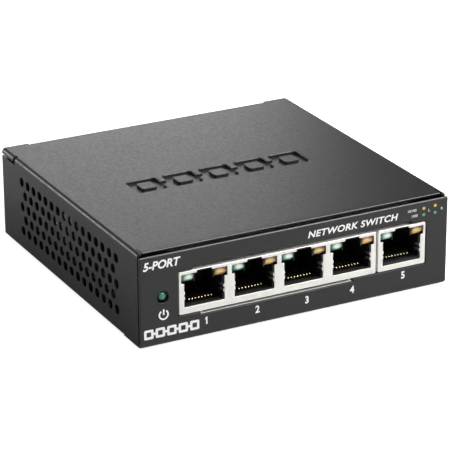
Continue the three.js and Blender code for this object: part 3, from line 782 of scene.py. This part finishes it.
def keyhole(x):
    """A round entry with a narrow slot towards the front, in one outline."""
    head, shank, slide = 3.3, 1.8, 6  # radii of the two, and how far the slot runs
    meet = math.asin(shank / head)
    entry = [meet - math.pi / 2 + (2 * math.pi - 2 * meet) * i / 24 for i in range(25)]
    end = [math.pi + math.pi * i / 10 for i in range(11)]
    around_head = [Vector((x + head * math.cos(a), head * math.sin(a))) for a in entry]
    around_end = [Vector((x + shank * math.cos(a), -slide + shank * math.sin(a))) for a in end]
    return around_head + around_end


make_chassis()

# ---------------- feet and screws


def make_feet():
    for place in ("front_left", "front_right", "rear_left", "rear_right"):
        node = f"rubber_foot_{place}"
        low, high = corners(node)
        radius = (high.x - low.x) / 2
        profile = [
            (0, 0.3), (radius - 1.6, 0.3), (radius - 1.2, 0.08), (radius - 0.9, 0.0), (radius - 0.5, 0.03),
            (radius - 0.15, 0.2), (radius, 0.5), (radius, high.z - 0.15), (radius - 0.1, high.z), (0, high.z),
        ]
        centre = middle(node)
        foot = turned("foot", profile, (centre.x, centre.y, 0), sides=48)
        finish_piece(foot, f"foot_{place}", RUBBER, "case", [node], 50)


def cross_cutter(centre, axis, reach, low, high):
    """Tapered cutters of a cross recess, along an axis from its floor to above the head."""
    arms = []
    width = 0.32
    for long, short in ((reach, width), (width, reach)):
        rings = []
        for share, level in ((0.62, low), (1.0, high - 0.2), (1.06, high)):
            rings.append((rectangle(-long * share, long * share, -short * share, short * share, 0.08), level))
        arms.append(solid("arm", [rings], axis))
        arms[-1].data.transform(Matrix.Translation(Vector(centre)))
    return arms


def make_cover_screws():
    """Countersunk screws. Their thread is drawn as rings."""
    crest, root, turns, threaded = 1.28, 1.12, 12, 4.6
    face, seat = REAR - 0.08, REAR - COVER_SHEET
    profile = [(0, REAR - 6), (1.0, REAR - 6), (1.25, REAR - 5.7)]
    for i in range(turns):
        level = REAR - 5.6 + i * threaded / turns
        profile += [(crest, level), (root, level + threaded / 2 / turns)]
    profile += [(crest, seat), (1.6, seat + 0.02), (2.5, face - 0.12), (2.45, face), (0, face)]
    for side in ("left", "right"):
        node = f"cover_screw_{side}"
        centre = middle(node)
        screw = turned("screw", profile, (centre.x, 0, centre.z), "y")
        cut(screw, *cross_cutter((centre.x, 0, centre.z), "y", 1.25, face - 0.65, face + 0.1))
        finish_piece(screw, f"lid_screw_{side}", ZINC, "case", [node], 40)


def make_board_screws():
    """Screws with a low domed head."""
    shank, head = 1.15, 2.65
    seat = BOARD_HIGH.z + 0.1
    rim = seat + 0.35
    for n in range(1, 5):
        node = f"board_screw_{n}"
        centre = middle(node)
        low, high = corners(node)
        dome = [(head * math.cos(a), rim + (high.z - seat - 0.35) * math.sin(a)) for a in (0.35, 0.7, 1.1)]
        profile = [(0, low.z), (0.9, low.z), (shank, low.z + 0.3), (shank, seat), (head, seat), (head, rim)]
        screw = turned("screw", [*profile, *dome, (0, high.z)], (centre.x, centre.y, 0))
        cut(screw, *cross_cutter((centre.x, centre.y, 0), "z", 1.2, high.z - 0.8, high.z + 0.1))
        finish_piece(screw, f"standoff_screw_{n}", ZINC, "case", [node], 40)


make_feet()
make_cover_screws()
make_board_screws()

# ---------------- network jacks

CAVITY = {"half": 5.95, "floor": 10.95, "top": 17.95, "back": FACE + 13.5}
PIVOT = Vector((FRONT + 3.2, 11.3))  # hinge of the contacts, in Y and Z
STRIP = 0.2  # thickness of the shields' strips and fingers


def port_outline(x, sill):
    """The opening in a shield for one port, with its two indicator windows and its latch notch."""
    right = [
        (PORT_HALF, sill), (PORT_HALF, LED_SHELF), (LED_OUTER, LED_SHELF), (LED_OUTER, LED_TOP),
        (LATCH_HALF, LED_TOP), (LATCH_HALF, JACK_TOP - 0.25),
    ]
    left = [(-u, v) for u, v in right[::-1]]
    radii = [0.35, 0.24, 0.2, 0.3, 0.24, 0.25]
    return rounded([(x + u, v) for u, v in left + right], radii[::-1] + radii, 3)


def side_strips(x, side, sill, path):
    """Two strips, one above the other, along a path that is given from the port's middle and its face."""
    path = [(x + side * u, FACE + w) for u, w in path]
    return [strip(path, STRIP, sill + low, sill + low + 1.0, "z", 0.05) for low in (2.3, 3.8)]


def make_fingers(kind):
    """Spring fingers behind the edge of each port, which press on a plug's own shield."""
    path = [(6.6, 0.55), (6.35, 0.8), (6.1, 1.4), (5.85, 2.0), (5.85, 2.4), (6.1, 3.0)]
    parts = []
    for n in JACK_PORTS[kind]:
        for side in (-1, 1):
            parts += side_strips(PORT_X[n], side, SILL[kind], path)
    # their tin is darkened as painted shade inside the port
    finish_piece(merged("fingers", parts), f"{kind}_shield_fingers", SHADED_FINGER_TIN, "case")


def earth_strip(low):
    """The lip under the block of four, near the lower edge of the panel's window, and its two posts."""
    ends, post = (-31.1, 18.0), 0.3
    lip = block(ends, (FACE + 0.3, FACE + 1.4), (low.z - 0.94, low.z - 0.80), 0.04, "lip")
    posts = [
        block((x - post, x + post), (FACE + 0.9, FACE + 1.3), (low.z - 0.9, low.z + 0.3), 0.06)
        for x in (ends[0] + 0.4, ends[1] - 0.4)
    ]
    return [lip, *posts]


def make_shield(kind):
    """A box of thin sheet, open below, with one opening for each port."""
    node = f"{kind}_jack_shield"
    low, high = corners(node)
    shell = prism(rectangle(low.x, high.x, low.z, high.z, 0.35), FACE, high.y, "y", 0.22, "shield")
    depth = (FACE + SHIELD, high.y - SHIELD)
    cut(shell, block((low.x + SHIELD, high.x - SHIELD), depth, (low.z - PAST, high.z - SHIELD), 0.15))
    for n in JACK_PORTS[kind]:
        cut(shell, hole(port_outline(PORT_X[n], SILL[kind]), FACE, FACE + SHIELD, "y", 0.11))
    extras = earth_strip(low) if kind == "quad" else []
    path = [(6.9, 0.2), (6.4, 0.2), (6.15, 0.3)]
    for n in JACK_PORTS[kind]:
        for side in (-1, 1):
            extras += side_strips(PORT_X[n], side, SILL[kind], path)
    shield = merged("shield", [shell, *extras])
    finish_piece(shield, f"{kind}_shield", SHIELD_TIN, "case", [node])


def port_rooms(x, sill):
    """Cutters for one port. Each room is a half width, a range in depth, a range in height and an edge."""
    mouth, back = FACE - PAST, CAVITY["back"]
    floor, top = CAVITY["floor"], CAVITY["top"]
    rooms = {
        "plug": (CAVITY["half"], (mouth, back), (floor, top), 0.2),
        "latch": (2.9, (mouth, FACE + 9), (top - 0.6, JACK_TOP - 0.8), 0.15),
        "wires": (WIRES / 2 * WIRE_PITCH + 0.35, (PIVOT.x - 1.2, back), (PIVOT.y - 1.0, floor + 0.6), 0.15),
        "fingers": (6.8, (mouth, FACE + 3.4), (sill + 2.1, sill + 5.0), 0.15),
    }
    made = [block((x - half, x + half), depth, height, edge) for half, depth, height, edge in rooms.values()]
    for side in (-1, 1):
        indicator = beside(side, 3.2, LED_OUTER + 0.1, x)
        made.append(block(indicator, (mouth, FACE + 6), (LED_SHELF - 0.1, LED_TOP - 0.05), 0.12))
    return made


def make_housing(kind):
    node = f"{kind}_jack_housing"
    low, high = corners(node)
    body = prism(rectangle(low.x, high.x, low.z, high.z, 0.25), low.y, high.y, "y", 0.15, "housing")
    for n in JACK_PORTS[kind]:
        cut(body, *port_rooms(PORT_X[n], SILL[kind]))
    cut(body, block((low.x + 1, high.x - 1), (high.y - 4, high.y + 1), (low.z - 1, 12.3), 0.2))
    finish_piece(body, f"{kind}_housing", BLACK_PLASTIC, "case", [node])


def wire_places(n):
    """Middles of one port's wires along X."""
    return [PORT_X[n] + (i - (WIRES - 1) / 2) * WIRE_PITCH for i in range(WIRES)]


def make_terminals(kind):
    """Fixed rear ends of the contacts: a strip with pins down to the board."""
    node = f"{kind}_jack_terminals"
    low, high = corners(node)
    parts = [prism(rectangle(low.y, high.y, 9.7, 11.9, 0.3), low.x, high.x, "x", 0.15)]
    y, half = (low.y + high.y) / 2, 0.24
    for n in JACK_PORTS[kind]:
        for x in wire_places(n):
            pin = rectangle(x - half, x + half, y - half, y + half, 0.06)
            parts.append(prism(pin, low.z, 9.8, "z", 0.08))
    finish_piece(merged("terminals", parts), f"{kind}_terminals", TIN, "case", [node])


def make_contacts(n):
    """One port's eight spring wires, and the black strip that carries their roots."""
    body = f"port_{n}_spring_set"
    y, z = PIVOT
    path = [
        (y + 2.2, z - 0.22), (y + 0.6, z - 0.24), (y - 0.2, z - 0.2), (y - 0.34, z + 0.1), (y - 0.1, z + 0.36),
        (y + 0.8, z + 0.5), (y + 3.6, z + 0.92), (y + 6.2, z + 1.28), (y + 8.5, z + 1.42),
    ]
    wires = [strip(path, 0.32, x - 0.21, x + 0.21, "x", 0.09) for x in wire_places(n)]
    node = f"port_{n}_contacts"
    finish_piece(merged("wires", wires), f"port_{n}_wires", GOLD, body, [node])
    half = WIRES / 2 * WIRE_PITCH
    ends = (PORT_X[n] - half + 0.3, PORT_X[n] + half - 0.3)
    root = block(ends, (y + 0.9, y + 2.4), (z - 0.48, z - 0.12), 0.08)
    finish_piece(root, f"port_{n}_wire_root", BLACK_PLASTIC, body)


def make_indicator(n, color, material):
    """A lens whose lower front edge is cut away."""
    node = f"port_{n}_{color}_led"
    low, high = corners(node)
    front, back, foot, head = low.y, high.y, low.z, high.z
    profile = [(front + 0.95, foot), (back, foot), (back, head), (front, head), (front, foot + 1.1)]
    body = prism(rounded(profile, [0.5, 0.1, 0.1, 0.45, 0.6], 5), low.x, high.x, "x", 0.09, "lens")
    bevel = body.modifiers.new("soft", "BEVEL")
    bevel.width = 0.28
    bevel.segments = 3
    bevel.angle_limit = math.radians(50)
    bake(body)
    finish_piece(body, f"port_{n}_{color}_lens", material, "case", [node], 60)


for kind in JACK_PORTS:
    make_shield(kind)
    make_fingers(kind)
    make_housing(kind)
    make_terminals(kind)
for port in PORTS:
    make_contacts(port)
    make_indicator(port, "green", GREEN_LENS)
    make_indicator(port, "amber", AMBER_LENS)

# ---------------- power light and power inlet


def make_power_light():
    """A domed lens, and the holder behind the panel that it sits in."""
    low, high = corners("power_led")
    centre = middle("power_led")
    radius = (high.x - low.x) / 2
    steps = 10
    turn = [math.pi / 2 * i / steps for i in range(1, steps + 1)]
    dome = [(radius * math.sin(a), low.y + radius * (1 - math.cos(a))) for a in turn]
    profile = [(0, low.y), *dome, (radius, high.y - 0.1), (radius - 0.1, high.y), (0, high.y)]
    light = turned("light", profile, (centre.x, 0, centre.z), "y", 48)
    finish_piece(light, "power_lens", POWER_LENS, "case", ["power_led"], 50)
    low, high = corners("power_led_holder")
    holder = block((low.x, high.x), (low.y, high.y), (low.z, high.z), 0.3, "holder")
    wide, bottom, mouth = radius + 0.3, low.y + 3.5, low.y - 0.1
    pocket = [(0, bottom), (wide, bottom), (wide, low.y + 0.3), (wide + 0.3, mouth), (0, mouth)]
    cut(holder, turned("pocket", pocket, (centre.x, 0, centre.z), "y", 48))
    finish_piece(holder, "power_lens_holder", BLACK_PLASTIC, "case", ["power_led_holder"])


def make_power_inlet():
    """The moulding with its round bore, the centre pin with its tail, and the leaf spring under the pin."""
    low, high = corners("dc_jack_housing")
    x, z = middle("dc_jack_housing").x, INLET_Z
    back, face = low.y, high.y
    body = prism(rectangle(low.x, high.x, low.z, high.z, 0.9, 5), back, face, "y", 0.3, "inlet")
    bore = [(0, back + 4), (3.2, back + 4), (3.2, face - 0.5), (3.65, face + 0.1), (0, face + 0.1)]
    rear = [(0, back - 1), (1.5, back - 1), (1.5, back + 5), (0, back + 5)]
    cut(
        body,
        turned("bore", bore, (x, 0, z), "y", 48),
        turned("pin_hole", rear, (x, 0, z), "y", 32),
        block((x - 1.5, x + 1.5), (back - 1, face - 2.5), (z - 5.1, z - 2.6), 0.15),
    )
    finish_piece(body, "inlet_housing", BLACK_PLASTIC, "case", ["dc_jack_housing"])
    root, tip = back - 0.4, face - 1.2
    shaft = [(0, root), (1.05, root), (1.05, tip - 0.8), (0.95, tip - 0.35), (0.65, tip), (0, tip)]
    pin = turned("pin", shaft, (x, 0, z), "y", 32)
    tail = prism(rectangle(x - 1.2, x + 1.2, low.z, z + 1, 0.4), back - 0.95, back - 0.35, "y", 0.08)
    finish_piece(join(pin, tail), "inlet_pin", TIN, "case", ["dc_jack_pin"])
    low, high = corners("dc_jack_spring")
    y, z, end = low.y, z - 4.1, high.y - 0.05
    path = [(y + 0.2, z), (y + 2.5, z + 0.05), (y + 4.8, z + 0.35), (y + 6.5, z + 1.35), (end, z + 0.7)]
    leaf = strip(path, 0.3, x - 0.95, x + 0.95, "x", 0.08, "leaf")
    finish_piece(leaf, "inlet_leaf", TIN, "dc_jack_leaf", ["dc_jack_spring"])


make_power_light()
make_power_inlet()

# ---------------- circuit board and the parts on it


def make_board():
    outline = rectangle(BOARD_LOW.x, BOARD_HIGH.x, BOARD_LOW.y, BOARD_HIGH.y, 0.6)
    board = prism(outline, BOARD_LOW.z, BOARD_HIGH.z, "z", 0.06, "board")
    for side in (-1, 1):
        for y in STANDOFF_YS:
            cut(board, hole(circle(side * STANDOFF_X, y, 1.7), BOARD_LOW.z, BOARD_HIGH.z, "z", 0.05))
    finish_piece(board, "main_board", MASK, "case", ["circuit_board"])


def dress(node, material, bevel):
    """Softens the edges of a carried-over CAD node and gives it its material."""
    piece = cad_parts[node]
    piece.data.materials.clear()
    piece.data.materials.append(material)
    piece.modifiers.new("welded", "WELD").merge_threshold = 0.001 * MM
    soft = piece.modifiers.new("soft_edges", "BEVEL")
    soft.width = bevel * MM
    soft.segments = 2
    soft.limit_method = "ANGLE"
    soft.angle_limit = math.radians(40)
    soft.use_clamp_overlap = True


make_board()
for port in PORTS:
    dress(f"transformer_{port}", CHIP_BLACK, 0.2)
for node in ("switch_chip", "memory_chip", "regulator_chip"):
    dress(node, CHIP_BLACK, 0.1)
for n in (1, 2):
    dress(f"inductor_{n}", CHIP_BLACK, 0.2)
for n in (1, 2, 3):
    dress(f"capacitor_{n}", SLEEVE, 0.25)
dress("thermal_pad", PAD, 0.1)
dress("heat_sink", ALLOY, 0.15)
dress("crystal", TIN, 0.2)

# ---------------- print on the front panel


CAP_HEIGHT = 0.72  # of a capital, as a share of the font's size


def on_panel(made, name, material):
    finish_piece(made, name, material, "case")


def printed(outline):
    """Ink with that outline, rooted in the panel."""
    return prism(outline, FRONT + 0.004, PANEL_FACE + 0.02, "y", 0.0, "ink")


def lettering(text, x, z, height, stretch=1.0, slant=0.0, weight=0.0, spacing=1.0):
    """Plain letters on the panel, from their lower left corner."""
    curve = bpy.data.curves.new("letters", "FONT")
    curve.body = text
    curve.size = height / CAP_HEIGHT
    curve.shear = slant
    curve.offset = weight
    curve.space_character = spacing
    curve.extrude = PRINT / 2
    curve.resolution_u = 6
    made = linked("letters", curve)
    bpy.context.view_layer.update()
    mesh = bpy.data.meshes.new_from_object(made.evaluated_get(bpy.context.evaluated_depsgraph_get()))
    bpy.data.objects.remove(made)
    mesh.transform(Matrix.Diagonal((stretch, 1, 1, 1)))
    mesh.transform(Matrix.Rotation(math.pi / 2, 4, "X"))
    left = min(v.co.x for v in mesh.vertices)
    mesh.transform(Matrix.Translation((x - left, FRONT + PRINT / 2 + 0.006, z)))
    return linked("letters", mesh)


def centred(text, x, z, height, **looks):
    made = lettering(text, 0, z, height, **looks)
    across = [v.co.x for v in made.data.vertices]
    made.data.transform(Matrix.Translation((x - (max(across) - min(across)) / 2, 0, 0)))
    return made


def power_symbol(x, z, radius, stroke):
    """A ring open at its top, with a bar through the gap."""
    gap, steps = 0.62, 36  # half the gap, in radians
    angles = [math.pi / 2 + gap + (2 * math.pi - 2 * gap) * i / steps for i in range(steps + 1)]
    ring = [Vector((x + radius * math.cos(a), z + radius * math.sin(a))) for a in angles]
    bar = rectangle(x - stroke / 2, x + stroke / 2, z - 0.1, z + radius + 0.35, 0.15)
    return merged("power_symbol", [printed(ribbon(ring, stroke)), printed(bar)])


def node_row(x, z, scale):
    """The lid's mark again as print: five hollow squares joined in a row."""
    half, stroke, pitch = (MARK[key] * scale for key in ("half", "stroke", "pitch"))
    island, link = half - stroke, pitch / 2 - half + 0.05
    parts = []
    for i in range(MARK["squares"]):
        at = x + half + i * pitch
        square = printed(rectangle(at - half, at + half, z - half, z + half, 0.42))
        eye = rectangle(at - island, at + island, z - island, z + island, 0.15)
        parts.append(cut(square, prism(eye, FRONT - PAST, FRONT + PAST, "y")))
        if i:
            joint = at - pitch / 2
            parts.append(printed(rectangle(joint - link, joint + link, z - stroke / 2, z + stroke / 2)))
    return merged("node_row", parts)


def make_print():
    """Port numbers, a power symbol, two generic titles, the plain mark and a legend of speeds."""
    places = {1: (-29.5, 4.3), 2: (-13.2, 4.3), 3: (3.0, 3.9), 4: (18.05, 4.0), 5: (35.3, 5.15)}
    for n, (x, z) in places.items():
        digit = centred(str(n), x, z, 2.2, stretch=0.9, weight=0.1)
        if n == 1:
            flag = [(-0.62, 1.35), (0, 1.6), (0, 2.2), (-0.2, 2.2)]
            digit = merged("digit", [digit, printed([Vector((x + u, z + v)) for u, v in flag])])
        on_panel(digit, f"number_{n}", WHITE_INK)
    on_panel(power_symbol(-43.0, 9.9, 1.35, 0.5), "power_symbol", WHITE_INK)
    on_panel(lettering("5-PORT", -49.2, 24.2, 2.45, 0.98, slant=0.2, weight=0.1), "port_count", WHITE_INK)
    title = lettering("NETWORK SWITCH", 3.2, 24.1, 2.0, 1.12, slant=0.2, weight=0.07, spacing=1.08)
    on_panel(title, "title", WHITE_INK)
    on_panel(node_row(-49.2, 4.7, 0.3), "mark_print", WHITE_INK)
    on_panel(lettering("10/100", 36.6, 25.5, 0.85, 0.95), "legend_100", WHITE_INK)
    on_panel(lettering("1000", 37.9, 23.75, 0.85, 0.95), "legend_1000", WHITE_INK)
    on_panel(lettering("L", 43.6, 24.7, 0.85), "legend_left", WHITE_INK)
    on_panel(lettering("R", 47.9, 24.5, 0.85), "legend_right", WHITE_INK)
    amber, green = ((42.0, 26.0), (45.9, 26.2)), ((42.0, 24.0), (45.9, 24.0))
    dots = [(*at, AMBER_INK) for at in amber] + [(*at, GREEN_INK) for at in green]
    for i, (x, z, ink) in enumerate(dots, 1):
        on_panel(printed(circle(x, z, 0.48, 24)), f"legend_dot_{i}", ink)


make_print()
